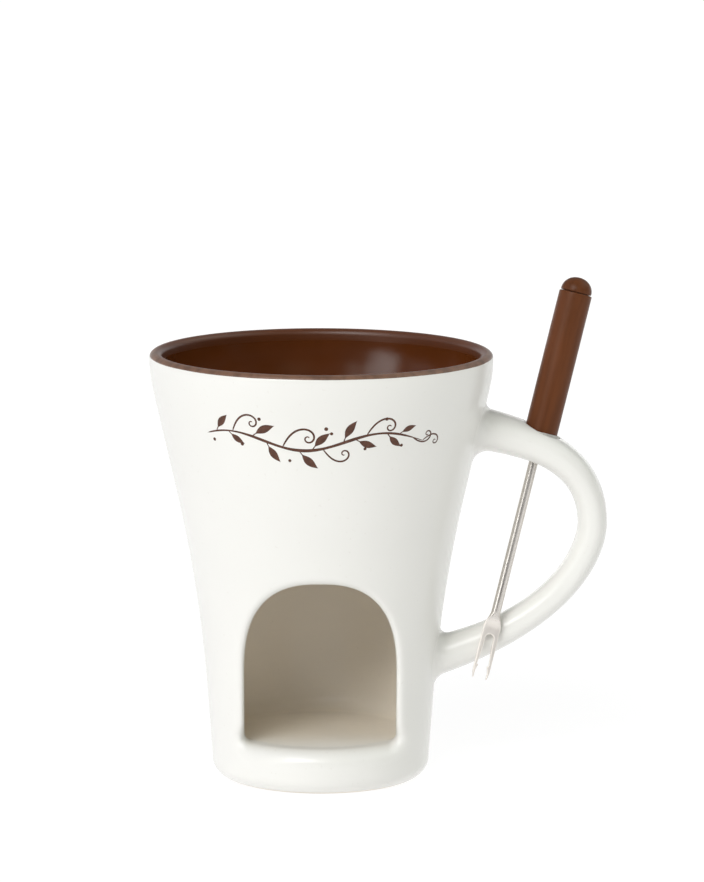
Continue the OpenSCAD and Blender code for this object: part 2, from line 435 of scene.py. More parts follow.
def foot_profile(form):
    """From the middle of the recess, over the foot ring and up to the window in the wall."""
    low_z = FOOT_CORNER * (1 + math.sin(form.taper))
    corner_x = float(form.outer(low_z)) - FOOT_CORNER * math.cos(form.taper)
    recess_x = FOOT_RING_INNER - RECESS_CORNER
    recess_z = form.recess - RECESS_CORNER
    ring_x = FOOT_RING_INNER + RING_EDGE
    return joined(
        np.linspace((0, form.recess), (recess_x, form.recess), 5),
        arc_points(recess_x, recess_z, RECESS_CORNER, 90, 0, 7),
        [[FOOT_RING_INNER, recess_z], [FOOT_RING_INNER, RING_EDGE]],
        arc_points(ring_x, RING_EDGE, RING_EDGE, 180, 270, 5),
        [[ring_x, 0], [(ring_x + corner_x) / 2, 0], [corner_x, 0]],
        arc_points(corner_x, FOOT_CORNER, FOOT_CORNER, -90, -math.degrees(form.taper), 14),
        form.wall_run(0, low_z + 0.4, WALL_WINDOW_Z[0], 1),
    )


def upper_profile(form, edge_angle):
    """From the window in the wall over the lip and down the bowl, under the brown glaze.

    The lip has its full radius to just past the glaze's edge, and is a glaze thickness less from there.
    """
    edge = math.degrees(edge_angle)
    turn = form.bowl_floor + BOWL_CORNER
    inset = form.wall - form.glaze
    corner = BOWL_CORNER + form.glaze
    corner_x = float(form.outer(turn)) - inset - corner
    floor = form.bowl_floor - form.glaze
    return joined(
        form.wall_run(0, WALL_WINDOW_Z[1], LIP_START, 26),
        form.wall_run(0, LIP_START, form.lip_z, 8),
        arc_points(form.lip_x, form.lip_z, form.lip, 0, edge + 5, 6),
        arc_points(form.lip_x, form.lip_z, form.lip - form.glaze, edge + 16, 180, 13),
        form.wall_run(inset, form.lip_z, turn, 14),
        arc_points(corner_x, turn, corner, 0, -90, 10),
        [[corner_x / 2, floor], [0, floor]],
    )


def arch_outline(form, count):
    """The opening's outline: a flat sill with round corners, upright sides and a superelliptic crown.

    Starts in the middle of the sill and runs towards +X. Gives count + 1 points and their outward
    normals, evenly spaced apart from the two small corners, where they are three times as close.
    """
    half = form.arch_half
    sill = form.chamber_floor
    flat = half - ARCH_CORNER
    bend = sill + ARCH_CORNER
    angle = np.linspace(0, math.pi, 3000)
    crown = np.stack([
        half * signed_power(np.cos(angle), 2 / ARCH_POWER),
        ARCH_SHOULDER + (form.arch_top - ARCH_SHOULDER) * np.sin(angle) ** (2 / ARCH_POWER),
    ], axis=1)
    line = joined(
        np.linspace((0, sill), (flat, sill), 300),
        arc_points(flat, bend, ARCH_CORNER, -90, 0, 100),
        np.linspace((half, bend), (half, ARCH_SHOULDER), 300),
        crown,
        np.linspace((-half, ARCH_SHOULDER), (-half, bend), 300),
        arc_points(-flat, bend, ARCH_CORNER, 180, 270, 100),
        np.linspace((-flat, sill), (0, sill), 300),
    )
    line = line[np.concatenate([[True], step_lengths(line) > 1e-7])]
    middle = (line[1:] + line[:-1]) / 2
    in_corner = (middle[:, 1] < bend) & (np.abs(middle[:, 0]) > flat)
    along = running(step_lengths(line) * np.where(in_corner, 3, 1))
    wanted = np.linspace(0, along[-1], count + 1)
    reach = along[-1] / 2500
    points = sample(wanted, along, line)
    way = unit(sample(wanted + reach, along, line) - sample(wanted - reach, along, line))
    normals = np.stack([way[:, 1], -way[:, 0]], axis=1)
    points[-1] = points[0]
    normals[-1] = normals[0]
    return points, normals


def belt(profile, window):
    """A revolved profile in two parts, with a window left between them at the front."""
    return [revolve(profile, THETA[: FRONT - window + 1]), revolve(profile, THETA[FRONT + window:])]


def window_border(window, rows, low, high):
    """Theta, and height or length, of the places round such a window's border."""
    across, up = window_loop(2 * window, rows)
    return (across * 2 - 1) * THETA[FRONT + window], low + up * (high - low)


def at_front(x, radius, z):
    """Points at x and z that lie at a radius from the mug's axis, on its front side."""
    return np.stack([x, -np.sqrt(radius ** 2 - x ** 2), z], axis=-1)


def mug_grids(form, edge_angle):
    """The mug's surfaces: foot, wall, lip, bowl under its glaze, rounded arch edge and chamber.

    The wall and the chamber are revolved profiles with a window left round the arch. Rings carry each
    window's border to the arch's outline, so the edge of the opening is a real quarter round.
    """
    side = form.wall_run(0, *WALL_WINDOW_Z, WALL_WINDOW_ROWS)
    grids = [
        revolve(foot_profile(form), THETA), *belt(side, WALL_WINDOW),
        revolve(upper_profile(form, edge_angle), THETA),
    ]

    # Wall between the window and the start of the round, which is wider along the sill
    border_theta, border_z = window_border(WALL_WINDOW, WALL_WINDOW_ROWS, *WALL_WINDOW_Z)
    outline, normal = arch_outline(form, len(border_z) - 1)
    sill = form.chamber_floor
    on_sill = 1 - smooth_step(outline[:, 1], sill + 0.5, sill + 8)
    rounding = form.arch_rounding + (form.sill_rounding - form.arch_rounding) * on_sill
    start = outline + rounding[:, None] * normal
    start_theta = np.arcsin(start[:, 0] / form.outer(start[:, 1]))
    grids.append(form.place(
        np.linspace(start_theta, border_theta, PATCH_ROWS), np.linspace(start[:, 1], border_z, PATCH_ROWS),
    ))

    # Quarter round from the wall into the opening
    offset, inset = quarter_round(rounding, 8)
    x = outline[:, 0] + offset * normal[:, 0]
    z = outline[:, 1] + offset * normal[:, 1]
    grids.append(at_front(x, form.outer(z) - inset, z))
    zones = [0.0] * len(grids)

    # Reveal, then a small round into the chamber that dies out towards the level sill
    line = form.chamber_line()
    along = running(step_lengths(line))
    off_axis = line[:, 0] > 1
    climb_r, climb_z = line[off_axis].T
    inset, offset = quarter_round(REVEAL_ROUND * smooth_step(outline[:, 1], sill + 2, sill + 9), 5)
    x = outline[:, 0] + offset * normal[:, 0]
    z = np.maximum(outline[:, 1] + offset * normal[:, 1], sill)
    inner = at_front(x, np.interp(z, climb_z, climb_r) + inset, z)
    grids += [np.linspace(grids[-1][-1], inner[0], 4), inner]
    zones += [np.linspace(0, 0.35, 4)[:, None], np.linspace(0.35, 0.7, 5)[:, None]]

    # Chamber: a revolved section with its own window, whose border is carried to the inner outline. The
    # window starts 5 short of the floor's corner and ends a quarter of the way in over the flat ceiling
    rows = (len(outline) - 1 - 4 * CHAMBER_WINDOW) // 2
    s0 = along[1] - 5
    s1 = along[-1] - 0.75 * line[-2, 0]
    grids += [
        revolve(sample(np.linspace(0, s0, 4), along, line), THETA),
        *belt(sample(np.linspace(s0, s1, rows + 1), along, line), CHAMBER_WINDOW),
        revolve(sample(np.linspace(s1, along[-1], 5), along, line), THETA),
    ]
    border_theta, border_s = window_border(CHAMBER_WINDOW, rows, s0, s1)
    start_theta = np.arcsin(x[-1] / np.interp(z[-1], climb_z, climb_r))
    start_s = np.interp(z[-1], climb_z, along[off_axis])
    section = sample(np.linspace(start_s, border_s, PATCH_ROWS), along, line)
    patch = polar(section[..., 0], np.linspace(start_theta, border_theta, PATCH_ROWS), section[..., 1])
    patch[0] = inner[-1]
    grids.append(patch)
    zones += [1.0, 1.0, 1.0, 1.0, np.linspace(0.7, 1, PATCH_ROWS)[:, None]]
    return grids, zones


def glaze_edge(theta, edge_angle):
    """Angle on the lip where the brown glaze ends: a slow, uneven wave of some 1.5 degrees either way."""
    wave = 0.8 * np.sin(3 * theta + 0.6) + 0.5 * np.sin(7 * theta + 2.1) + 0.35 * np.sin(17 * theta + 4.0)
    return edge_angle + np.radians(wave)


def glaze_grids(form, edge_angle):
    """The fired glaze as a closed skin: the bowl's floor and wall, over the crest and down to its edge.

    Near its edge the skin stands a few hundredths proud in a bead, then thins to nothing.
    """
    turn = form.bowl_floor + BOWL_CORNER

    def section(inset):
        """The bowl's profile up to the lip, inset from the wall's outer face."""
        corner = BOWL_CORNER + form.wall - inset
        corner_x = float(form.outer(turn)) - inset - corner
        floor = form.bowl_floor - (form.wall - inset)
        return joined(
            np.linspace((0, floor), (corner_x, floor), 5),
            arc_points(corner_x, turn, corner, -90, 0, 16),
            form.wall_run(inset, turn, LIP_START, 14),
            form.wall_run(inset, LIP_START, form.lip_z, 6),
        )

    sweep = np.concatenate([np.linspace(0, 0.86, 18), np.linspace(0.88, 1, 12)])[:, None]
    edge = glaze_edge(THETA, edge_angle)
    angle = math.pi + (edge - math.pi) * sweep
    from_edge = np.degrees(angle - edge)
    bead = BEAD * smooth_step(from_edge, 0, 4) * (1 - smooth_step(from_edge, 8, 45))
    thin = form.glaze * (1 - smooth_step(from_edge, 0, 16))

    def over_lip(radius):
        """The skin over the lip, at a radius from the lip's centre."""
        return polar(form.lip_x + radius * np.cos(angle), THETA, form.lip_z + radius * np.sin(angle))

    outside = over_lip(form.lip + bead)
    underside = over_lip(form.lip - form.glaze + thin + bead * (thin > form.glaze * 0.999))
    thinness = smooth_step(sweep, 0.42, 0.74)
    grids = [
        revolve(section(form.wall), THETA), outside,
        revolve(section(form.wall - form.glaze), THETA), underside,
    ]
    return grids, [0.0, thinness, 0.0, thinness]


# ---- Fork axis ----

# Height of the grip's lower end, from the middle of the handle's hole
GRIP_END = -0.95


class ForkFrame:
    """Axes of the fork: Z up the fork, X across its flat head, origin in the middle of the handle's hole."""

    def __init__(self, grip_length):
        joint = next(j for j in frame["joints"] if j["name"] == "fork_lift")
        self.z = unit(np.array(joint["axis"], float))
        self.x = unit(np.cross([0.0, 1.0, 0.0], self.z))
        self.y = np.cross(self.z, self.x)
        low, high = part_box("fork_grip")
        middle = (np.array(low) + np.array(high)) / 2 / MM
        self.origin = middle - self.z * (GRIP_END + grip_length / 2)

    def to_world(self, local):
        """Points along the fork's axes as points of the frame."""
        return self.origin + local[..., 0:1] * self.x + local[..., 1:2] * self.y + local[..., 2:3] * self.z

    def to_local(self, points):
        """Points of the frame as points along the fork's axes."""
        away = points - self.origin
        return np.stack([away @ self.x, away @ self.y, away @ self.z], axis=-1)

    def turned(self):
        """The frame's turn as Euler angles, for patterns that follow the fork."""
        return tuple(Matrix((self.x, self.y, self.z)).transposed().to_euler())

    def revolved(self, profile):
        """A profile of (radius, height up the fork) carried round the fork's axis."""
        angle = np.linspace(0, TURN, 97)
        return self.to_world(circle(profile[:, 0, None], angle, profile[:, 1, None]))


# ---- Handle ----

# Additions to the handle's thickness and depth at fractions of u, from the upper root to the lower one
HANDLE_MARKS = (0, 0.08, 0.17, 0.25, 0.34, 0.42, 0.5, 0.6, 0.75, 0.84, 0.9, 0.95, 1)
EXTRA_THICKNESS = (5.4, 4.0, 2.5, 1.3, 0.75, 0.3, 0, 0, -0.1, 0.2, 1.15, 2.4, 4.0)
EXTRA_DEPTH = (6, 5.4, 4.8, 4.0, 2.75, 1.35, 0, -0.8, -2.0, -1.95, -1.6, 0.2, 2)
HANDLE_COLUMNS = 96
HANDLE_ROWS = 210
# Flare of each root, on the inner side of the loop and on its outer side
UPPER_FILLET = (5.0, 2.6)
LOWER_FILLET = (3.4, 3.0)
# Pull at both ends of a flare, in fillets, that makes it nearly a quarter circle
FLARE_PULL = 1.66
# Insets from the wall's outer face: the flare's foot, then the rows that close the root inside the wall
FLARE_FOOT = 0.04
ROOT_RIM = 1.4
ROOT_MIDDLE = 1.5
ROOT_POLE = 1.6
# The hole: its middle in u, the window that is left for it, its two rounded mouths and its step
HOLE_AT = 0.235
HOLE_WINDOW = 16
HOLE_WINDOW_ROWS = 34
HOLE_MOUTHS = (1.15, 0.8)
HOLE_STEP = -1.0
HOLE_BEVEL = 0.3


class HandleForm:
    """The loop handle: a superelliptic section carried along two Bezier curves in the XZ plane.

    s runs from 0 at the upper root to 1 at the lower root, in step with the length of the centre line.
    Angle 0 is the outer side of the loop and a quarter turn is the back.
    """

    def __init__(self, p, form):
        reach = mm(p.reach)
        self.upper = np.array([[40, 115.5], [60, 111.3], [reach, 108], [reach, 82.3]])
        self.lower = np.array([[reach, 82.3], [reach, 75], [79.6, 47.8], [26, 36]])
        self.thickness = mm(p.thickness)
        self.depth = mm(p.depth)
        self.form = form
        self.u_table = np.linspace(0, 1, 4001)
        lengths = running(step_lengths(self.centre(self.u_table)[0]))
        self.s_table = lengths / lengths[-1]

    def centre(self, u):
        """Centre line and its unit direction: the upper curve's Bezier points to u 0.5, then the lower's."""
        t = np.where(u < 0.5, 2 * u, 2 * u - 1)[..., None]
        first = (u < 0.5)[..., None]
        p = [np.where(first, self.upper[k], self.lower[k]) for k in range(4)]
        r = 1 - t
        at = r ** 3 * p[0] + 3 * r ** 2 * t * p[1] + 3 * r * t ** 2 * p[2] + t ** 3 * p[3]
        way = 3 * r ** 2 * (p[1] - p[0]) + 6 * r * t * (p[2] - p[1]) + 3 * t ** 2 * (p[3] - p[2])
        return at, unit(way)

    def point(self, s, angle):
        """Points on the handle: half thickness |cos|^(2/power), half depth |sin|^(2/power).

        The power is 2.3, and up to 2.8 at the hole, where the section is squarer.
        """
        u = np.interp(s, self.s_table, self.u_table)
        at, way = self.centre(u)
        half_t = (self.thickness + soft_lookup(u, HANDLE_MARKS, EXTRA_THICKNESS)) / 2
        half_d = (self.depth + soft_lookup(u, HANDLE_MARKS, EXTRA_DEPTH)) / 2
        power = 2.3 + 0.5 * np.exp(-((u - HOLE_AT) / 0.09) ** 2)
        across = half_t * signed_power(np.cos(angle), 2 / power)
        depth = half_d * signed_power(np.sin(angle), 2 / power)
        x = at[..., 0] - way[..., 1] * across
        z = at[..., 1] + way[..., 0] * across
        return np.stack([x, depth, z], axis=-1)

    def clearance(self, s, angle):
        """Distance from the mug's outer wall, measured level."""
        p = self.point(s, angle)
        return np.hypot(p[..., 0], p[..., 1]) - self.form.outer(p[..., 2])

    def trim(self, angle, fillet, near, far):
        """s where each line along the handle is one fillet away from the wall, by halving the interval."""
        low = np.full(angle.shape, near)
        high = np.full(angle.shape, far)
        for _ in range(40):
            middle = (low + high) / 2
            inside = self.clearance(middle, angle) < fillet
            low = np.where(inside, middle, low)
            high = np.where(inside, high, middle)
        ends = (low + high) / 2
        ends[-1] = ends[0]
        return ends


def soft_lookup(u, marks, values):
    """A smooth curve through the marks: cubic Hermite pieces whose slopes are the centred differences."""
    marks = np.asarray(marks, float)
    values = np.asarray(values, float)
    slopes = np.gradient(values, marks)
    k = np.clip(np.searchsorted(marks, u) - 1, 0, len(marks) - 2)
    width = marks[k + 1] - marks[k]
    return hermite((u - marks[k]) / width, values[k], width * slopes[k], values[k + 1], width * slopes[k + 1])


def laid_flat(v, normal):
    """Unit vectors along v, laid square to the normals."""
    return unit(v - (v * normal).sum(axis=1, keepdims=True) * normal)


def root_fillet(handle, s_end, angle, fillet, inward):
    """Rows that flare one end of the handle onto the mug's wall, then close it inside the wall.

    Each line along the handle leaves it in its own direction and lands on the wall one fillet further
    out, running along the wall: a cubic Hermite curve. The last rows sink into the wall and close in a
    pole.
    """
    form = handle.form
    start = handle.point(s_end, angle)
    way = unit(handle.point(s_end + inward * 1e-4, angle) - start)
    hit = start + way * fillet[:, None]
    outward = laid_flat(start - start[:-1].mean(axis=0), form.normal(hit))
    land = form.sunk(hit + outward * fillet[:, None], FLARE_FOOT)
    arrive = laid_flat(outward, form.normal(land))
    pull = FLARE_PULL * fillet[:, None]
    rows = hermite(np.linspace(0, 1, 11)[:, None, None], start, pull * way, land, pull * arrive)
    rows[:, -1] = rows[:, 0]
    sunk = form.sunk(land, ROOT_RIM)
    sunk[-1] = sunk[0]
    heart = form.sunk(sunk[:-1].mean(axis=0), ROOT_POLE)
    half_way = form.sunk((sunk + heart) / 2, ROOT_MIDDLE)
    half_way[-1] = half_way[0]
    pole = np.broadcast_to(heart, sunk.shape)
    return np.concatenate([rows, np.stack([sunk, half_way, pole])])


def hole_rings(handle, axes, radii, psi, angle_guess, s_guess=HOLE_AT):
    """(s, angle) on the handle at each radius about the fork's axis and each angle psi round it.

    Found by Newton's method, from a guess.
    """
    target = circle(radii[:, None], psi, 0.0)[..., :2]
    s = np.full(target.shape[:2], s_guess)
    a = np.full(target.shape[:2], angle_guess)
    nudge = 1e-5

    def miss(s_now, a_now):
        return axes.to_local(handle.point(s_now, a_now))[..., :2] - target

    for _ in range(25):
        off = miss(s, a)
        by_s = (miss(s + nudge, a) - off) / nudge
        by_a = (miss(s, a + nudge) - off) / nudge
        det = by_s[..., 0] * by_a[..., 1] - by_a[..., 0] * by_s[..., 1]
        ds = (off[..., 0] * by_a[..., 1] - by_a[..., 0] * off[..., 1]) / det
        da = (by_s[..., 0] * off[..., 1] - off[..., 0] * by_s[..., 1]) / det
        s = s - np.clip(ds, -0.03, 0.03)
        a = a - np.clip(da, -0.3, 0.3)
    if np.abs(miss(s, a)).max() > 1e-4:
        raise RuntimeError("the fork hole's outline was not found on the handle")
    return s, a


def handle_grids(handle, axes, grip_hole, rod_hole):
    """The handle's surface round the two mouths of the fork hole, the hole itself and the flared roots."""
    angle = np.linspace(0, TURN, HANDLE_COLUMNS + 1)
    outer_side = (1 + np.cos(angle)) / 2
    upper_fillet, lower_fillet = [
        inner + (outer - inner) * outer_side for inner, outer in (UPPER_FILLET, LOWER_FILLET)
    ]
    s_first = handle.trim(angle, upper_fillet, 0.0, 0.3)
    s_last = handle.trim(angle, lower_fillet, 1.0, 0.7)

    def lattice(row, column):
        """s and angle at a row and a column, which may be fractions."""
        a = column / HANDLE_COLUMNS * TURN
        low = np.interp(a % TURN, angle, s_first)
        high = np.interp(a % TURN, angle, s_last)
        return low + (high - low) * row / HANDLE_ROWS, a

    def piece(rows, columns):
        """The surface over a range of rows and of columns."""
        s, a = lattice(rows[:, None], columns[None, :])
        return handle.point(s, a + 0 * s)

    # For each mouth: the first row and the middle column of its window, and its middle's s and angle
    half_turn = HANDLE_COLUMNS // 2
    mouths = []
    for centre in (0, half_turn):
        centre_angle = centre / HANDLE_COLUMNS * TURN
        s, a = hole_rings(handle, axes, np.array([0.01]), np.array([0.0]), centre_angle)
        low = np.interp(centre_angle, angle, s_first)
        high = np.interp(centre_angle, angle, s_last)
        row = int(round((float(s[0, 0]) - low) / (high - low) * HANDLE_ROWS))
        mouths.append((row - HOLE_WINDOW_ROWS // 2, centre, float(s[0, 0]), float(a[0, 0])))

    all_rows = np.arange(HANDLE_ROWS + 1)
    grids = []
    for first, centre, _, _ in mouths:
        over_window = np.arange(centre - HOLE_WINDOW, centre + HOLE_WINDOW + 1)
        grids.append(piece(all_rows[: first + 1], over_window))
        grids.append(piece(all_rows[first + HOLE_WINDOW_ROWS:], over_window))
        grids.append(piece(all_rows, np.arange(centre + HOLE_WINDOW, centre + half_turn - HOLE_WINDOW + 1)))

    # Rings about the fork's axis, each with its points at the directions of the window's border
    radii = (grip_hole / 2, rod_hole / 2)
    rings = []
    for (first, centre, s_mid, a_mid), radius, mouth, side in zip(mouths, radii, HOLE_MOUTHS, (-1, 1)):
        across, up = window_loop(2 * HOLE_WINDOW, HOLE_WINDOW_ROWS)
        border_s, border_a = lattice(
            first + up * HOLE_WINDOW_ROWS, centre + (across * 2 - 1) * HOLE_WINDOW,
        )
        border = axes.to_local(handle.point(border_s, border_a))
        psi = np.unwrap(np.arctan2(border[:, 1], border[:, 0]))
        psi = (psi + np.linspace(psi[0], psi[-1], len(psi))) / 2
        offset, drop = quarter_round(mouth, 7)
        s, a = hole_rings(handle, axes, radius + offset[:, 0], psi, a_mid, s_mid)
        grids.append(handle.point(np.linspace(s[0], border_s, 8), np.linspace(a[0], border_a, 8)))
        surface = axes.to_local(handle.point(s, a))
        surface[..., 2] += side * drop
        rings.append((surface[-1], psi))
        grids.append(axes.to_world(surface))

    # Bore: grip hole, bevelled step and rod hole. The lower ring runs the other way, so it is turned round
    (upper_ring, psi), (lower_ring, lower_psi) = rings
    turned = lower_psi[::-1]
    turned = turned + np.round((psi[0] - turned[0]) / TURN) * TURN
    wide, narrow = radii
    grids.append(axes.to_world(np.stack([
        upper_ring,
        circle(wide, psi, HOLE_STEP + 4),
        circle(wide, psi, HOLE_STEP + HOLE_BEVEL),
        circle(wide - HOLE_BEVEL, psi, HOLE_STEP),
        circle(narrow + HOLE_BEVEL, (psi + turned) / 2, HOLE_STEP),
        circle(narrow, turned, HOLE_STEP - HOLE_BEVEL),
        lower_ring[::-1],
    ])))
    grids.append(root_fillet(handle, s_first, angle, upper_fillet, -1))
    grids.append(root_fillet(handle, s_last, angle, lower_fillet, 1))
    return grids


# ---- Fork ----

TANG_TOP = 31
# Head, in heights above the tips: notch between the tines, full width, and start of the widening
TINE_ROOT = 14.5
HEAD_NECK = TINE_ROOT + 2.3
HEAD_TOP = TINE_ROOT + 7.6
NOTCH = 1.35
HEAD_HALF_THICKNESS = 0.5
# A tine narrows by these widths, on its inner edge over its length and on its outer edge at its point
TINE_TAPER = 0.60
POINT_TAPER = 0.42
POINT = 2.4
# The barb stands out by its width between these heights, and ends over the next quarter millimetre
BARB = 0.52
BARB_LOW = 2.1
BARB_HIGH = 4.2
EDGE_ROUND = 0.42
TIP_ROUND = 0.45


def steel_grids(p, axes):
    """Rod and flattened two-tined head, as a front and a back skin on each side of the middle line.

    At height t the steel spans x_in to x_out. Half its thickness is H (1 - |x / x_out|^n)^(1/n), a circle
    for the rod and nearly a flat for the head, times a round that falls to nothing at the notch's edge
    and at the tips.
    """
    rod = mm(p.rod_diameter) / 2
    half_width = mm(p.head_width) / 2
    end = GRIP_END - mm(p.rod_reach)
    root = end + TINE_ROOT
    neck = end + HEAD_NECK
    top = end + HEAD_TOP
    centre = root - NOTCH
    quarter = np.linspace(0, QUARTER, 13)[1:]
    t = np.concatenate([
        [TANG_TOP, TANG_TOP - 0.05], np.linspace(TANG_TOP - 0.1, top, 16), np.linspace(top, root, 44)[1:],
        root - NOTCH * (1 - np.cos(quarter)), np.linspace(centre, end + 4.8, 20)[1:],
        np.linspace(end + 4.7, end + 2.0, 28), np.linspace(end + 1.8, end + 0.5, 8),
        end + TIP_ROUND * (1 - np.sin(quarter)),
    ])[:, None]
    from_tip = t - end
    closed = t > TANG_TOP - 0.03

    widening = smooth_step(-t, -top, -neck)
    x_out = np.where(closed, 0, rod + (half_width - rod) * widening)
    x_out = x_out - POINT_TAPER * smooth_step(-from_tip, -POINT, 0.3)
    in_circle = np.sqrt(np.maximum(NOTCH ** 2 - (t - centre) ** 2, 0))
    x_in = np.where(t > centre, in_circle, NOTCH + TINE_TAPER * smooth_step(-from_tip, -12, -POINT))
    barb_end = 1 - smooth_step(from_tip, BARB_HIGH, BARB_HIGH + 0.25)
    x_in = x_in - BARB * np.clip((from_tip - BARB_LOW) / (BARB_HIGH - BARB_LOW), 0, 1) * barb_end
    x_in = np.where(t > root, 0, x_in)

    # Places across the steel, close together at the outer edge and, beside the notch, at both edges
    w = np.linspace(0, 1, 17)
    one_edge = np.sin(w * QUARTER)
    two_edges = (1 - np.cos(w * math.pi)) / 2
    notched = smooth_step(-t, -root - 1.5, -centre)
    x = x_in + (x_out - x_in) * (one_edge + (two_edges - one_edge) * notched)

    power = 2 + 4.5 * widening
    thick = rod + (HEAD_HALF_THICKNESS - rod) * smooth_step(-t, -top - 0.5, -neck + 0.4)
    thick = thick * (1 - 0.35 * smooth_step(-from_tip, -6, 0))
    out_share = np.where(w == 1, 1, np.minimum(x / np.maximum(x_out, 1e-9), 1))
    outer_round = np.maximum(1 - out_share ** power, 0) ** (1 / power)
    gap = np.where(t > centre, np.hypot(x, t - centre) - NOTCH, x - x_in)
    near = 1 - np.clip(gap / EDGE_ROUND, 0, 1)
    inner_round = np.maximum(1 - near ** 2.5, 0) ** (1 / 2.5)
    inner_round = np.where((t <= root) & (w == 0), 0, inner_round)
    tip_round = np.sqrt(np.maximum(1 - (1 - np.clip(from_tip / TIP_ROUND, 0, 1)) ** 2, 0))
    y = thick * outer_round * inner_round * tip_round
    y = np.where(closed | (from_tip < 1e-6), 0, y)
    height = t + 0 * x
    grids = [
        axes.to_world(np.stack([side * x, face * y, height], axis=-1))
        for side in (-1, 1) for face in (-1, 1)
    ]
    return grids, [widening] * 4


# Grip: a hair of swell in its middle, the seat of the tang, the eased lower edge and the chamfer above
GRIP_SWELL = 0.03
SEAT_DEPTH = 2.5
SEAT_GAP = 0.25
GRIP_EASE = 0.6
GRIP_CHAMFER = 0.45
# Cap: smaller than the grip, with a fine dark joint below its rounded lower edge
CAP_STEP = 0.35
CAP_HEIGHT = 4.98
CAP_JOINT = 0.14
CAP_EDGE = 0.28


def grip_profile(p):
    """The barrel's closed profile, from the tang's seat round its lower end and up to the cap."""
    radius = mm(p.grip_diameter) / 2
    seat = mm(p.rod_diameter) / 2 + SEAT_GAP
    low = GRIP_END
    high = GRIP_END + mm(p.grip_length)
    z = np.linspace(low + GRIP_EASE, high - 0.5, 30)
    swell = GRIP_SWELL * np.sin((z - low) / (high - low) * math.pi)
    straight = radius - GRIP_SWELL
    return joined(
        [[0, low + SEAT_DEPTH], [seat, low + SEAT_DEPTH], [seat, low + SEAT_GAP]],
        arc_points(seat + SEAT_GAP, low + SEAT_GAP, SEAT_GAP, 180, 270, 3),
        arc_points(straight - GRIP_EASE, low + GRIP_EASE, GRIP_EASE, -90, 0, 8),
        np.stack([straight + swell, z], axis=1)[1:],
        arc_points(straight - GRIP_CHAMFER, high - 0.5, GRIP_CHAMFER, 0, 60, 5),
        [[radius - 0.75, high - 0.02], [radius - 1.3, high - 0.05], [0, high - 0.05]],
    )


def cap_profile(p):
    """The end cap's closed profile: a neck in the joint, a short upright band and a flattened dome."""
    radius = mm(p.grip_diameter) / 2 - CAP_STEP
    neck = radius - 0.75
    low = GRIP_END + mm(p.grip_length)
    band = CAP_JOINT + CAP_EDGE
    angle = np.linspace(0, QUARTER, 26)
    dome = np.stack([
        radius * np.cos(angle) ** 0.96, low + band + (CAP_HEIGHT - band) * np.sin(angle) ** 0.98,
    ], axis=1)
    dome[-1, 0] = 0
    return joined(
        [[0, low - 0.04], [neck, low - 0.04], [neck, low + CAP_JOINT]],
        arc_points(radius - CAP_EDGE, low + band, CAP_EDGE, -90, 0, 5)[:-1],
        dome,
    )


# ---- Printed sprig ----

# Places along the sprig are lengths round the wall at this radius
PRINT_RADIUS = 50
# A stroke stands above the glaze and sinks below it by these, in full where it is PRINT_FULL wide
PRINT_RISE = 0.045
PRINT_SINK = 0.03
PRINT_FULL = 0.12
STEM_START = -37.5
STEM_END = 34.0
STEM_WAVE = 2.6
# Each leaf's place, side, length, breadth and lean in degrees
LEAVES = (
    (-33.5, 1, 7.4, 2.8, 50), (-29.0, -1, 6.6, 2.5, 48), (-21.0, 1, 8.4, 3.1, 56),
    (-16.5, -1, 7.8, 2.9, 50), (-6.5, -1, 8.4, 3.1, 52), (-2.5, 1, 8.0, 3.0, 52),
    (7.0, 1, 8.2, 3.0, 55), (10.5, -1, 7.6, 2.8, 50), (20.5, -1, 7.0, 2.6, 50), (24.5, 1, 6.2, 2.3, 46),
)
# Each tendril's place, side, length, width, start in degrees and number of turns
TENDRILS = (
    (-27.5, 1, 19.0, 0.62, 66, 1.35), (-11.5, 1, 22.0, 0.66, 62, 1.4), (0.8, -1, 17.0, 0.58, 55, 1.3),
    (14.0, 1, 20.0, 0.62, 60, 1.4), (29.5, -1, 14.0, 0.52, 34, 1.3), (33.4, 1, 13.0, 0.50, 34, 1.35),
)
# Each berry's place, height above the stem and diameter
BERRIES = (
    (-34.8, -2.6, 1.1), (-24.6, -3.6, 1.2), (-18.2, 6.6, 1.1), (-9.4, -3.8, 1.0), (1.8, 6.2, 1.2),
    (3.4, 4.2, 1.0), (13.8, -4.2, 1.0), (20.0, 4.6, 1.1), (25.8, -3.4, 1.0),
)


def stroke(form, line, width):
    """A printed stroke laid on the mug's wall: a flat line of (along, up) and its width at each point.

    The section is a shallow pad whose underside sinks just into the glaze, and both ends close in a
    point.
    """
    way = unit(np.gradient(line, axis=0))
    angle = np.linspace(0, TURN, 11)
    offset = (width / 2)[:, None] * np.cos(angle)
    rise = np.where(np.sin(angle) > 0, PRINT_RISE, -PRINT_SINK) * np.abs(np.sin(angle)) ** 0.5
    along = line[:, 0, None] - way[:, 1, None] * offset
    up = line[:, 1, None] + way[:, 0, None] * offset
    full = np.minimum(1, width / PRINT_FULL)[:, None]
    return form.place(along / PRINT_RADIUS, up, 0.002 - rise * full)


def wander(place, up, turn, steps):
    """A flat line from (place, up) whose steps head the way that turn gives."""
    return np.stack([
        place + running(np.cos(turn[1:]) * steps), up + running(np.sin(turn[1:]) * steps),
    ], axis=1)


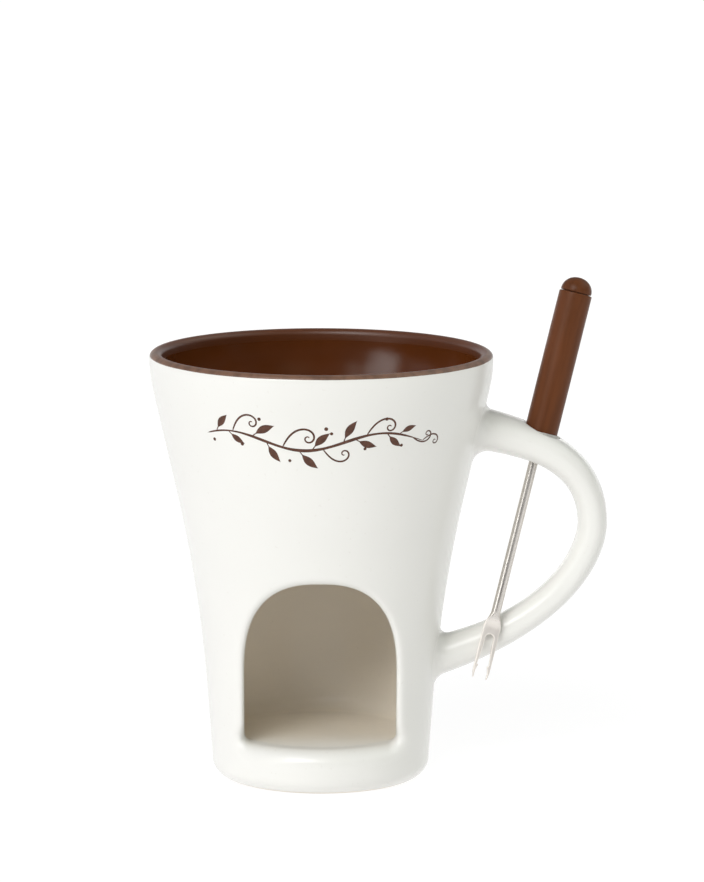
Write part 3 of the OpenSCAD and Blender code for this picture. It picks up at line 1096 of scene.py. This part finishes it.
def sprig_grids(form, height):
    """A trailing sprig: a waving stem, leaves on both sides, curling tendrils and small berries."""
    span = STEM_END - STEM_START

    def stem_up(x):
        """Height of the stem, one and a half slow waves."""
        return height + STEM_WAVE * np.sin((x - STEM_START) / span * TURN * 1.5 + 0.4)

    along = np.linspace(STEM_START, STEM_END, 260)
    q = (along - STEM_START) / span
    width = 0.24 + 0.72 * np.sin(math.pi * np.clip(q, 0, 1)) ** 0.7 + 0.12 * np.sin(q * 31)
    width = np.maximum(width, 0) * smooth_step(q, -0.001, 0.02) * (1 - smooth_step(q, 0.98, 1.001))
    grids = [stroke(form, np.stack([along, stem_up(along)], axis=1), width)]

    # Leaves: pointed ovals on short bent stalks
    f = np.linspace(0, 1, 40)
    ends = np.minimum(1, np.minimum(f, 1 - f) * 14)
    for place, side, size, breadth, lean in LEAVES:
        slope = math.atan2(stem_up(place + 0.5) - stem_up(place - 0.5), 1)
        turn = slope + side * math.radians(lean) * (1.0 - 0.45 * f)
        blade = breadth * np.sin(math.pi * np.clip((f - 0.18) / 0.82, 0, 1)) ** 1.15 * (1 - 0.35 * f)
        line = wander(place, stem_up(place), turn, size / (len(f) - 1))
        grids.append(stroke(form, line, np.maximum(blade, 0.34) * ends))

    # Tendrils: lines whose curvature grows along their length
    f = np.linspace(0, 1, 150)
    taper = (0.55 + 0.45 * np.sin(math.pi * f ** 0.6)) * np.minimum(1, (1 - f) * 25) * np.minimum(1, f * 40)
    for place, side, size, breadth, lean, turns in TENDRILS:
        turn = side * (math.radians(lean) - TURN * turns * f ** 1.9)
        steps = size / (len(f) - 1) * (1.5 - 1.15 * f[1:])
        grids.append(stroke(form, wander(place, stem_up(place), turn, steps), breadth * taper))

    # Berries: round pads beside the stem
    f = np.linspace(-1, 1, 16)
    for place, rise, size in BERRIES:
        line = np.stack([place + size / 2 * f, np.full(len(f), stem_up(place) + rise)], axis=1)
        grids.append(stroke(form, line, size * np.sqrt(np.maximum(1 - f ** 2, 0))))
    return grids


# ---- Materials ----

# Heights in metres between which the dry foot ring gives way to glaze. The ring is real unglazed stoneware,
# and its band reaching this high is partly painted shade along the base's lower edge
BISCUIT_AND_SHADE_LINE = (0.0003, 0.0013)


class Nodes:
    """A node tree, with short ways to add the nodes of the materials and of the studio's light."""

    def __init__(self, tree):
        self.tree = tree

    def put(self, target, value):
        """Feeds a socket: links another node's output to it, or sets it to a constant."""
        if isinstance(value, bpy.types.NodeSocket):
            self.tree.links.new(value, target)
        elif target.type == "RGBA":
            target.default_value = (*value, 1.0)
        else:
            target.default_value = value

    def add(self, kind, inputs=None, **settings):
        """A node with its settings, and its inputs by name or number."""
        node = self.tree.nodes.new("ShaderNode" + kind)
        for name, value in settings.items():
            setattr(node, name, value)
        for key, value in (inputs or {}).items():
            self.put(node.inputs[key], value)
        return node

    def spread(self, source, low, high, to_low, to_high):
        """The source eased from one range to another, and held beyond its ends."""
        return self.add("MapRange", {
            "Value": source, "From Min": low, "From Max": high, "To Min": to_low, "To Max": to_high,
        }, interpolation_type="SMOOTHSTEP").outputs["Result"]

    def maths(self, operation, *values):
        """One sum of outputs and numbers."""
        return self.add("Math", dict(enumerate(values)), operation=operation).outputs[0]

    def mix(self, factor, one, two):
        """Colour one where the factor is 0, and colour two where it is 1."""
        node = self.add("Mix", {"Factor": factor}, data_type="RGBA")
        colours = [socket for socket in node.inputs if socket.type == "RGBA"]
        self.put(colours[0], one)
        self.put(colours[1], two)
        return next(socket for socket in node.outputs if socket.type == "RGBA")


class Finish(Nodes):
    """A material with a Principled shader. Long patterns follow the axes that turned gives."""

    def __init__(self, name, turned=(0, 0, 0), **sockets):
        self.turned = turned
        self.material = bpy.data.materials.new(name)
        self.material.use_nodes = True
        super().__init__(self.material.node_tree)
        self.shader = self.tree.nodes["Principled BSDF"]
        for socket, value in sockets.items():
            self.put(self.shader.inputs[socket.replace("_", " ")], value)
        self.place = self.add("TexCoord").outputs["Object"]

    def noise(self, scale, detail, stretch=None):
        """Noise over the piece, drawn out along Z by the stretch."""
        source = self.place
        if stretch:
            source = self.add(
                "Mapping", {"Vector": source, "Scale": (1, 1, stretch), "Rotation": self.turned},
                vector_type="TEXTURE",
            ).outputs["Vector"]
        return self.add("TexNoise", {"Vector": source, "Scale": scale, "Detail": detail}).outputs["Fac"]

    def cloud(self, scale, detail, low=0.0, high=1.0):
        """Soft noise between two values."""
        return self.spread(self.noise(scale, detail), 0.3, 0.7, low, high)

    def zone(self, low, high, to_high=1.0):
        """The piece's own zone, eased between two of its values."""
        source = self.add("Attribute", attribute_name="zone").outputs["Fac"]
        return self.spread(source, low, high, 0.0, to_high)

    def along(self, axis, low, high, to_low, to_high):
        """The place along X, Y or Z, axis 0, 1 or 2, eased between two places in metres."""
        place = self.add("SeparateXYZ", {0: self.place}).outputs[axis]
        return self.spread(place, low, high, to_low, to_high)

    def bump(self, source, distance, strength, under=None):
        """Raises the surface by the source, over the bump under it if there is one."""
        node = self.add("Bump", {"Strength": strength, "Distance": distance, "Height": source})
        if under:
            self.put(node.inputs["Normal"], under)
        self.put(self.shader.inputs["Normal"], node.outputs["Normal"])
        return node.outputs["Normal"]

    def paint(self, source):
        """Sets what gives the base colour."""
        self.put(self.shader.inputs["Base Color"], source)

    def rough(self, *sources):
        """Roughness, the larger of the sources."""
        source = self.maths("MAXIMUM", *sources) if len(sources) > 1 else sources[0]
        self.put(self.shader.inputs["Roughness"], source)


def tint(colour_, factor):
    """A colour made lighter or darker."""
    return tuple(channel * factor for channel in colour_)


def white_glaze(p, name):
    """Satin white glaze: faint cloudy tone, fine orange peel, a warmer chamber with painted light on its
    floor near the opening, and a dry foot ring whose band is partly painted shade along the base's lower
    edge.
    """
    f = Finish(name, IOR=1.48, Specular_IOR_Level=0.45)
    clouds = f.cloud(26, 3)
    outside = f.mix(clouds, p.body_colour, tint(p.body_colour, 0.982))
    walls = f.mix(clouds, p.chamber_colour, tint(p.chamber_colour, 0.96))
    # Painted light: the chamber's level floor is painted whiter towards the opening, where light comes in
    # through the arch
    sill_light = f.along(1, -0.034, -0.002, 1, 0)
    on_floor = f.along(2, 0.0146, 0.0156, 1, 0)
    inside = f.mix(f.maths("MULTIPLY", sill_light, on_floor), walls, tint(p.body_colour, 1.12))
    skin = f.mix(f.zone(0.15, 0.95), outside, inside)
    specks = f.spread(f.noise(900, 1), 0.72, 0.78, 0, 0.10)
    skin = f.mix(specks, skin, (0.50, 0.44, 0.36))
    # Real dry foot ring, whose upper part is also painted shade along the base's lower edge
    f.paint(f.mix(f.along(2, *BISCUIT_AND_SHADE_LINE, 1, 0), skin, p.biscuit_colour))
    satin = f.cloud(60, 2, p.body_roughness - 0.03, p.body_roughness + 0.04)
    f.rough(satin, f.along(2, *BISCUIT_AND_SHADE_LINE, 0.85, 0))
    peel = f.bump(f.noise(240, 2), 0.00005, 0.6)
    f.bump(f.noise(1600, 1), 0.00001, 0.5, under=peel)
    return f.material


def brown_glaze(p):
    """Glossy brown bowl glaze that thins to a lighter tan over the crest of the lip."""
    f = Finish("brown_glaze_fired", IOR=1.5, Specular_IOR_Level=0.5)
    deep = f.mix(f.cloud(34, 3), p.glaze_colour, tint(p.glaze_colour, 0.82))
    streaks = f.spread(f.noise(300, 3, stretch=3), 0.35, 0.7, 0, 1)
    crest = f.mix(streaks, p.rim_colour, tint(p.rim_colour, 0.62))
    f.paint(f.mix(f.zone(0.0, 0.9), deep, crest))
    gloss = f.cloud(80, 2, p.roughness - 0.03, p.roughness + 0.05)
    f.rough(gloss, f.along(2, 0.1325, 0.1355, 0, 0.42))
    f.bump(f.noise(190, 2), 0.00006, 0.5)
    return f.material


def polished_steel(p, turned):
    """Bright steel with fine polishing lines along the rod, and a softer head whose colour is painted
    lighter, a painted sheen.
    """
    f = Finish("fork_polished_steel", turned, Metallic=1.0)
    bright = f.mix(f.cloud(120, 2), p.steel_colour, tint(p.steel_colour, 0.93))
    # Painted sheen: the flattened head is the same steel as the rod, painted 1.24 times lighter
    f.paint(f.mix(f.zone(0.1, 0.9), bright, tint(p.steel_colour, 1.24)))
    lines = f.noise(2200, 2, stretch=60)
    f.rough(f.spread(lines, 0.3, 0.7, 0.22, 0.33), f.zone(0.1, 0.9, 0.42))
    f.bump(lines, 0.000002, 0.5)
    return f.material


def brown_grip(p, name, darker, turned):
    """Satin brown moulding with a faint long grain."""
    f = Finish(name, turned, IOR=1.48, Specular_IOR_Level=0.13)
    grain = f.noise(420, 3, stretch=9)
    tone = f.spread(grain, 0.35, 0.68, 0, 1)
    f.paint(f.mix(tone, tint(p.grip_colour, darker), tint(p.grip_colour, darker * 0.80)))
    f.rough(f.cloud(150, 2, 0.32, 0.42))
    f.bump(grain, 0.00001, 0.5)
    return f.material


def sprig_print(p):
    """Matt brown overglaze print with a slightly uneven lay."""
    f = Finish("sprig_print", IOR=1.45, Specular_IOR_Level=0.35)
    lay = f.spread(f.noise(700, 2), 0.3, 0.75, 0, 1)
    f.paint(f.mix(lay, p.print_colour, tint(p.print_colour, 1.5)))
    f.rough(f.cloud(300, 1, 0.38, 0.5))
    return f.material


def floor_paper(p):
    """White studio paper with a faint fibre."""
    f = Finish(
        "studio_paper", Roughness=0.9, Specular_IOR_Level=0.1, Emission_Strength=0.87,
        Emission_Color=(1.0, 1.0, 1.0),
    )
    f.paint(f.mix(f.noise(30, 2), p.floor_colour, tint(p.floor_colour, 0.995)))
    return f.material


def settle(piece, material, body, slot_name, *nodes):
    """Finishes one piece: its material, the body it rides on and the nodes it stands for. slot_name is not
    used.
    """
    piece.data.materials.append(material)
    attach(piece, body)
    if nodes:
        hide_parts(*nodes)


# ---- Studio ----

CAMERA_PLACE = (0.0099, -1.5919, 0.36694)
CAMERA_PITCH = 9.208
CAMERA_ROLL = 0.161
CAMERA_LENS = 205.29
PLAIN_WHITE = (1.03, 1.03, 1.03)

# Soft light panels round the object: direction in degrees from the front towards +X, height in degrees,
# half breadth, half height, softness of the edge, strength and colour
PANELS = (
    (-16, 38, 10, 9, 8, 8.5, (0.985, 1.0, 1.0)),
    (-36, 50, 12, 9, 8, 4.8, (0.96, 0.99, 1.0)),
    (-30, 29, 8, 8, 5, 7.6, (1.0, 1.0, 0.98)),
    (-48, 12, 10, 12, 7, 2.8, (1.0, 1.0, 1.0)),
    (-88, 28, 20, 24, 14, 0.66, (0.90, 0.90, 1.0)),
    (20, 30, 12, 12, 9, 0.45, (1.0, 1.0, 0.80)),
    (90, 42, 32, 16, 14, 1.5, (0.95, 1.0, 0.93)),
)


def panel_light(nodes, direction, panel):
    """Strength of one panel in a direction: full inside a box of azimuth and height, soft at its edge."""
    azimuth, height, half_a, half_h, soft, strength, _ = panel
    a = math.radians(azimuth)
    h = math.radians(height)
    # Axes of the panel: out to its middle, level along it and up it
    axes = (
        (math.sin(a) * math.cos(h), -math.cos(a) * math.cos(h), math.sin(h)),
        (math.cos(a), math.sin(a), 0),
        (-math.sin(a) * math.sin(h), math.cos(a) * math.sin(h), math.cos(h)),
    )
    ahead, sideways, upward = [
        nodes.add("VectorMath", {0: direction, 1: axis}, operation="DOT_PRODUCT").outputs["Value"]
        for axis in axes
    ]

    def fall(value, half):
        """1 within half the panel's size, falling to 0 over its soft edge."""
        away = nodes.maths("ABSOLUTE", nodes.maths("ARCTAN2", value, ahead))
        return nodes.spread(away, math.radians(half - soft), math.radians(half + soft), 1.0, 0.0)

    inside = nodes.maths("MULTIPLY", fall(sideways, half_a), fall(upward, half_h))
    in_front = nodes.maths("GREATER_THAN", ahead, 0.0)
    return nodes.maths("MULTIPLY", nodes.maths("MULTIPLY", inside, in_front), strength)


def studio_world():
    """The studio's light as a smooth field: a bright low backdrop, quiet in front, with soft panels."""
    world = bpy.data.worlds.new("soft_studio")
    world.use_nodes = True
    nodes = Nodes(world.node_tree)
    nodes.tree.nodes.clear()
    direction = nodes.add("TexCoord").outputs["Generated"]
    split = nodes.add("SeparateXYZ", {0: direction}).outputs
    overhead = nodes.spread(split["Z"], 0.42, 0.95, 0.0, 0.05)
    backdrop = nodes.spread(split["Y"], -0.15, 0.75, 0.06, 1.0)
    sweep = nodes.spread(split["Z"], 0.09, 0.22, 1.54, 0.38)
    base = nodes.maths("ADD", overhead, nodes.maths("MULTIPLY", backdrop, sweep))
    light = nodes.add("CombineXYZ", {0: base, 1: base, 2: base}).outputs[0]
    for panel in PANELS:
        strength = panel_light(nodes, direction, panel)
        scaled = nodes.add("VectorMath", {0: panel[-1], "Scale": strength}, operation="SCALE").outputs[0]
        light = nodes.add("VectorMath", {0: light, 1: scaled}, operation="ADD").outputs[0]
    # Seen directly, beyond the floor, the studio is plain white
    seen = nodes.mix(nodes.add("LightPath").outputs["Is Camera Ray"], light, PLAIN_WHITE)
    background = nodes.add("Background", {"Color": seen, "Strength": 1.0}).outputs[0]
    nodes.add("OutputWorld", {"Surface": background})
    bpy.context.scene.world = world


# ---- Operators ----


class FONDUE_OT_mug(bpy.types.Operator):
    """Builds the stoneware mug with its burner chamber and arched opening"""

    bl_idname = "fondue.mug"
    bl_label = "Mug body"

    def execute(self, context):
        p = context.scene.fondue_mug
        grids, zones = mug_grids(MugForm(p), context.scene.fondue_bowl.edge_angle)
        piece = shell("mug_shell", grids, zones)
        settle(piece, white_glaze(p, "white_glaze_body"), "mug", "white_stoneware", "mug_body")
        return {"FINISHED"}


class FONDUE_OT_bowl(bpy.types.Operator):
    """Builds the brown glaze in the bowl and over the lip"""

    bl_idname = "fondue.bowl"
    bl_label = "Bowl glaze"

    def execute(self, context):
        p = context.scene.fondue_bowl
        grids, zones = glaze_grids(MugForm(context.scene.fondue_mug), p.edge_angle)
        piece = shell("bowl_glaze_skin", grids, zones)
        settle(piece, brown_glaze(p), "mug", "brown_glaze", "bowl_glaze")
        return {"FINISHED"}


class FONDUE_OT_handle(bpy.types.Operator):
    """Builds the loop handle with its fork hole"""

    bl_idname = "fondue.handle"
    bl_label = "Loop handle"

    def execute(self, context):
        p = context.scene.fondue_handle
        mug = context.scene.fondue_mug
        handle = HandleForm(p, MugForm(mug))
        axes = ForkFrame(mm(context.scene.fondue_fork.grip_length))
        piece = shell("loop_handle", handle_grids(handle, axes, mm(p.grip_hole), mm(p.rod_hole)))
        settle(piece, white_glaze(mug, "white_glaze_handle"), "mug", "white_stoneware", "mug_handle")
        return {"FINISHED"}


class FONDUE_OT_fork(bpy.types.Operator):
    """Builds the fork: steel, grip and end cap"""

    bl_idname = "fondue.fork"
    bl_label = "Fork"

    def execute(self, context):
        p = context.scene.fondue_fork
        axes = ForkFrame(mm(p.grip_length))
        turned = axes.turned()
        steel = shell("fork_steel", *steel_grids(p, axes))
        settle(steel, polished_steel(p, turned), "fork", "fork_steel", "fork_shaft")
        barrel = shell("fork_grip_barrel", [axes.revolved(grip_profile(p))])
        settle(barrel, brown_grip(p, "brown_grip_barrel", 1.0, turned), "fork", "brown_grip", "fork_grip")
        cap = shell("grip_end_cap", [axes.revolved(cap_profile(p))])
        settle(cap, brown_grip(p, "brown_grip_cap", 0.92, turned), "fork", "brown_grip", "grip_cap")
        return {"FINISHED"}


class FONDUE_OT_sprig(bpy.types.Operator):
    """Builds the sprig printed on the mug's front"""

    bl_idname = "fondue.sprig"
    bl_label = "Printed sprig"

    def execute(self, context):
        p = context.scene.fondue_sprig
        piece = shell("printed_sprig", sprig_grids(MugForm(context.scene.fondue_mug), mm(p.height)))
        settle(piece, sprig_print(p), "mug", "brown_glaze")
        return {"FINISHED"}


class FONDUE_OT_stage(bpy.types.Operator):
    """Builds the floor, the studio light and the camera"""

    bl_idname = "fondue.stage"
    bl_label = "Studio"

    def execute(self, context):
        p = context.scene.fondue_stage
        radius = np.concatenate([[0.0], np.geomspace(0.05, p.floor_radius, 24)])
        points = circle(radius[:, None], np.linspace(0, TURN, 65), 0.0)
        mesh = bpy.data.meshes.new("studio_floor")
        mesh.from_pydata(points.reshape(-1, 3), [], grid_faces(*points.shape[:2]))
        floor = bpy.data.objects.new("studio_floor", mesh)
        context.scene.collection.objects.link(floor)
        mesh.materials.append(floor_paper(p))
        studio_world()
        context.scene.view_settings.view_transform = "Standard"
        lens = bpy.data.cameras.new("studio_camera")
        lens.lens = CAMERA_LENS
        lens.sensor_width = 36
        lens.clip_start = 0.05
        lens.clip_end = 100
        camera = bpy.data.objects.new("studio_camera", lens)
        camera.location = CAMERA_PLACE
        camera.rotation_mode = "ZYX"
        camera.rotation_euler = (math.radians(90 - CAMERA_PITCH), 0, math.radians(CAMERA_ROLL))
        context.scene.collection.objects.link(camera)
        context.scene.camera = camera
        return {"FINISHED"}


class FONDUE_PT_panel(bpy.types.Panel):
    """Lists the pieces of the fondue mug"""

    bl_idname = "FONDUE_PT_panel"
    bl_label = "Fondue Mug"
    bl_space_type = "VIEW_3D"
    bl_region_type = "UI"
    bl_category = "Fondue"

    def draw(self, context):
        for part in PARTS:
            box = self.layout.box()
            box.operator(f"fondue.{part}")
            settings = getattr(context.scene, f"fondue_{part}")
            for name in settings.__annotations__:
                box.prop(settings, name)


PARTS = {
    "mug": (FONDUE_PG_mug, FONDUE_OT_mug),
    "bowl": (FONDUE_PG_bowl, FONDUE_OT_bowl),
    "handle": (FONDUE_PG_handle, FONDUE_OT_handle),
    "fork": (FONDUE_PG_fork, FONDUE_OT_fork),
    "sprig": (FONDUE_PG_sprig, FONDUE_OT_sprig),
    "stage": (FONDUE_PG_stage, FONDUE_OT_stage),
}


def register():
    for part, (settings, operator) in PARTS.items():
        bpy.utils.register_class(settings)
        bpy.utils.register_class(operator)
        setattr(bpy.types.Scene, f"fondue_{part}", bpy.props.PointerProperty(type=settings))
    bpy.utils.register_class(FONDUE_PT_panel)


def unregister():
    bpy.utils.unregister_class(FONDUE_PT_panel)
    for part, (settings, operator) in PARTS.items():
        delattr(bpy.types.Scene, f"fondue_{part}")
        bpy.utils.unregister_class(operator)
        bpy.utils.unregister_class(settings)


def main():
    register()
    for part in PARTS:
        getattr(bpy.ops.fondue, part)()


if __name__ == "__main__":
    main()
